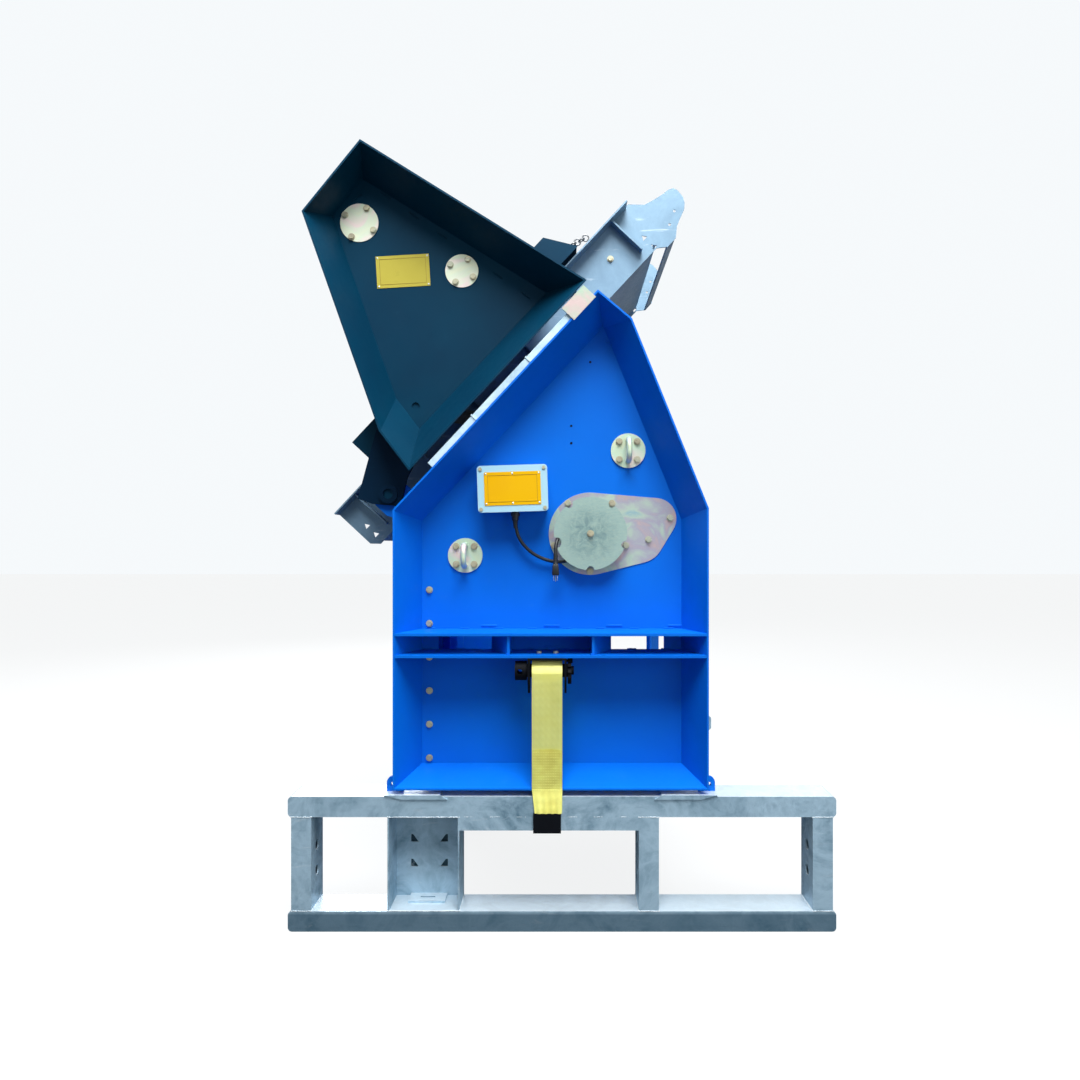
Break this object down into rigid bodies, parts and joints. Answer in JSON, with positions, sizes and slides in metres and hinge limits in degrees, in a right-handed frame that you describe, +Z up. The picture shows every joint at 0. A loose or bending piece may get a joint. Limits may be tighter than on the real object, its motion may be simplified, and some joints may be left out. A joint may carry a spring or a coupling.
{
  "type": "hooded chute machine",
  "caption": "Powered hooded chute: a dished blue sheet-metal casing with a lifting dark hood over a sloping galvanised chute, strapped by winches to a galvanised skid.",
  "frame": {"origin": "bottom centre of the skid", "axes": "+X along the skid towards the chute's mouth, +Y across the machine away from the control side, +Z up"},
  "size_m": [1.8, 1.328, 2.601],
  "materials": {
    "galvanised": "hot-dip galvanised, mottled",
    "blue_paint": "semi-gloss blue paint",
    "hood_paint": "semi-gloss dark teal paint",
    "zinc": "yellow zinc plate",
    "bare_steel": "machined, oiled",
    "cast": "painted casting",
    "box_paint": "pale blue-grey powder coat",
    "yellow_plate": "printed yellow plate, blank",
    "black_plastic": "moulded",
    "cord_rubber": "matt rubber",
    "webbing": "woven polyester",
    "black_steel": "black enamel"
  },
  "bodies": {
    "frame": {"casing_rim_far": "blue_paint", "casing_rim_near": "blue_paint", "casing_side_far": "blue_paint", "casing_side_near": "blue_paint", "casing_skins": "blue_paint", "chute_bed": "galvanised", "chute_sides": "galvanised", "control_box": "box_paint", "control_lid": "box_paint", "control_plate": "yellow_plate", "cord_coil": "cord_rubber", "cord_disc": "zinc", "cord_gland": "black_plastic", "cover_bolts": "zinc", "disc_hub": "zinc", "drive_chain": "bare_steel", "drive_covers": "zinc", "eye_plates": "zinc", "eye_u_bolts": "zinc", "foot_plates": "galvanised", "fork_pockets": "blue_paint", "gearmotor": "cast", "hinge_ears": "blue_paint", "hold_down_lugs": "blue_paint", "latch_plate": "zinc", "power_cord": "cord_rubber", "power_plug": "black_plastic", "safety_chain": "zinc", "shaft_bearings": "cast", "shaft_bulkheads": "blue_paint", "skid_bottom_rails": "galvanised", "skid_channel_posts": "galvanised", "skid_cross_tubes": "galvanised", "skid_posts": "galvanised", "skid_stiffener_bars": "galvanised", "skid_top_rails": "galvanised", "slope_deck": "blue_paint", "small_screws": "zinc", "strap_hooks": "black_steel", "straps": "webbing", "winch_frames": "black_steel"},
    "hood": {"hood_sides": "hood_paint", "hood_rim_near": "hood_paint", "hood_rim_far": "hood_paint", "hood_skins": "hood_paint", "hood_tunnel": "hood_paint", "hood_arms": "hood_paint", "hood_pins": "bare_steel", "hood_covers": "zinc", "hood_cover_bolts": "zinc", "hood_plate": "yellow_plate"},
    "main_shaft": {"main_shaft": "bare_steel", "lift_cranks": "bare_steel", "shaft_sprocket": "bare_steel"},
    "lift_links": {"lift_links": "bare_steel"},
    "motor_sprocket": {"motor_sprocket": "bare_steel"},
    "winch_spool_near": {"winch_spool_near": "black_steel"},
    "winch_spool_far": {"winch_spool_far": "black_steel"},
    "winch_pawl_near": {"winch_pawl_near": "black_steel"},
    "winch_pawl_far": {"winch_pawl_far": "black_steel"}
  },
  "joints": [
    {"name": "hood_hinge", "type": "hinge", "parent": "frame", "child": "hood", "pos_m": [-0.59628, 0, 1.44444], "axis": [0, -1, 0], "range_deg": [0, 50]},
    {"name": "main_shaft_turn", "type": "hinge", "parent": "frame", "child": "main_shaft", "pos_m": [0.097, 0, 1.308], "axis": [0, -1, 0], "range_deg": [0, 50]},
    {"name": "lift_link_pivot", "type": "hinge", "parent": "hood", "child": "lift_links", "pos_m": [-0.50864, 0, 1.75104], "axis": [0, -1, 0], "range_deg": [-50, 0]},
    {"name": "motor_sprocket_turn", "type": "hinge", "parent": "frame", "child": "motor_sprocket", "pos_m": [0.325, -0.37, 1.36], "axis": [0, -1, 0], "range_deg": [0, 150]},
    {"name": "winch_near_turn", "type": "hinge", "parent": "frame", "child": "winch_spool_near", "pos_m": [0, -0.62, 0.8525], "axis": [1, 0, 0], "continuous": true},
    {"name": "winch_far_turn", "type": "hinge", "parent": "frame", "child": "winch_spool_far", "pos_m": [0, 0.62, 0.8525], "axis": [1, 0, 0], "continuous": true},
    {"name": "pawl_near_lift", "type": "hinge", "parent": "frame", "child": "winch_pawl_near", "pos_m": [0.015, -0.565, 0.8765], "axis": [1, 0, 0], "range_deg": [0, 30]},
    {"name": "pawl_far_lift", "type": "hinge", "parent": "frame", "child": "winch_pawl_far", "pos_m": [0.015, 0.565, 0.8765], "axis": [-1, 0, 0], "range_deg": [0, 30]}
  ],
  "couplings": [
    {"joint": "main_shaft_turn", "follows": "hood_hinge", "ratio": 1},
    {"joint": "lift_link_pivot", "follows": "hood_hinge", "ratio": -1},
    {"joint": "motor_sprocket_turn", "follows": "hood_hinge", "ratio": 3}
  ]
}
